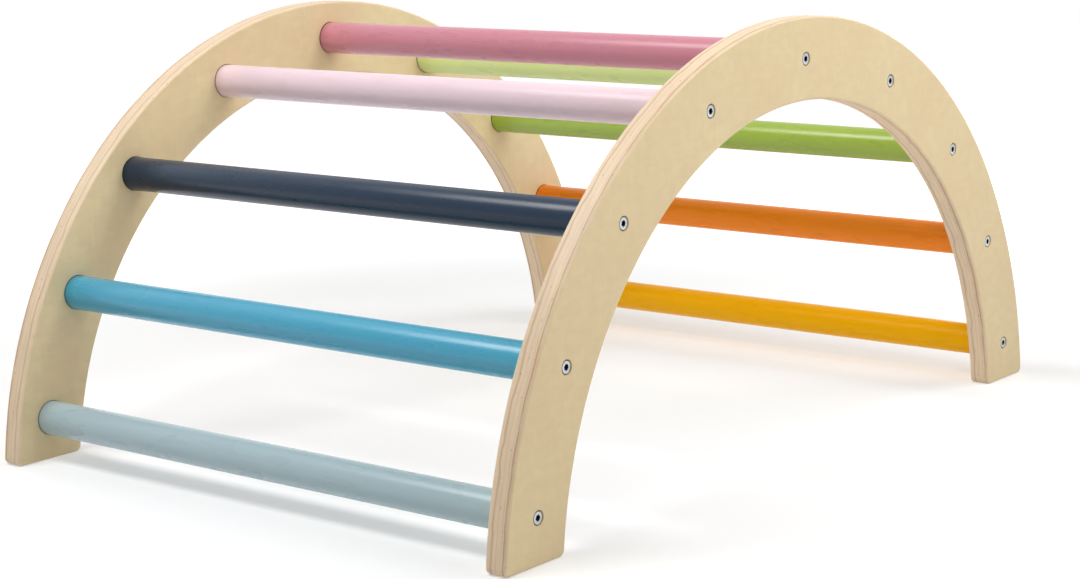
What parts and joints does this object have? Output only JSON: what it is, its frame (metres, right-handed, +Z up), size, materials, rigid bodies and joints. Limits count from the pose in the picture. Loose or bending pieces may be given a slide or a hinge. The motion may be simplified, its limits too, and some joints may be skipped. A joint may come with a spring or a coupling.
{
  "type": "climbing frame",
  "caption": "Low wooden climbing arch: plywood arch panels joined by painted round rungs, bolted at each rung end.",
  "frame": {"origin": "on the floor, at the middle of the footprint", "axes": "+X along the arch from the grey-blue rung's foot to the amber rung's foot, +Y along the rungs from the near panel to the far panel, +Z up"},
  "size_m": [0.8664, 0.6, 0.4025],
  "materials": {
    "plywood": "clear satin lacquer on birch plywood",
    "grey_blue_paint": "satin enamel paint, pale grey-blue",
    "sky_blue_paint": "satin enamel paint, sky blue",
    "slate_navy_paint": "satin enamel paint, dark slate blue",
    "pale_pink_paint": "satin enamel paint, pale lilac pink",
    "dusty_rose_paint": "satin enamel paint, dusty rose",
    "light_lime_paint": "satin enamel paint, light lime green",
    "grass_green_paint": "satin enamel paint, grass green",
    "orange_paint": "satin enamel paint, orange",
    "amber_yellow_paint": "satin enamel paint, amber yellow",
    "bolt_steel": "bright zinc plate",
    "insert_metal": "plain die-cast zinc"
  },
  "bodies": {
    "root": {"near_arch_panel": "plywood", "far_arch_panel": "plywood", "rung_1_grey_blue": "grey_blue_paint", "rung_2_sky_blue": "sky_blue_paint", "rung_3_slate_navy": "slate_navy_paint", "rung_4_pale_pink": "pale_pink_paint", "rung_5_dusty_rose": "dusty_rose_paint", "rung_6_light_lime": "light_lime_paint", "rung_7_grass_green": "grass_green_paint", "rung_8_orange": "orange_paint", "rung_9_amber_yellow": "amber_yellow_paint", "near_bolt_1": "bolt_steel", "near_bolt_2": "bolt_steel", "near_bolt_3": "bolt_steel", "near_bolt_4": "bolt_steel", "near_bolt_5": "bolt_steel", "near_bolt_6": "bolt_steel", "near_bolt_7": "bolt_steel", "near_bolt_8": "bolt_steel", "near_bolt_9": "bolt_steel", "far_bolt_1": "bolt_steel", "far_bolt_2": "bolt_steel", "far_bolt_3": "bolt_steel", "far_bolt_4": "bolt_steel", "far_bolt_5": "bolt_steel", "far_bolt_6": "bolt_steel", "far_bolt_7": "bolt_steel", "far_bolt_8": "bolt_steel", "far_bolt_9": "bolt_steel", "near_insert_1": "insert_metal", "near_insert_2": "insert_metal", "near_insert_3": "insert_metal", "near_insert_4": "insert_metal", "near_insert_5": "insert_metal", "near_insert_6": "insert_metal", "near_insert_7": "insert_metal", "near_insert_8": "insert_metal", "near_insert_9": "insert_metal", "far_insert_1": "insert_metal", "far_insert_2": "insert_metal", "far_insert_3": "insert_metal", "far_insert_4": "insert_metal", "far_insert_5": "insert_metal", "far_insert_6": "insert_metal", "far_insert_7": "insert_metal", "far_insert_8": "insert_metal", "far_insert_9": "insert_metal"}
  },
  "joints": []
}
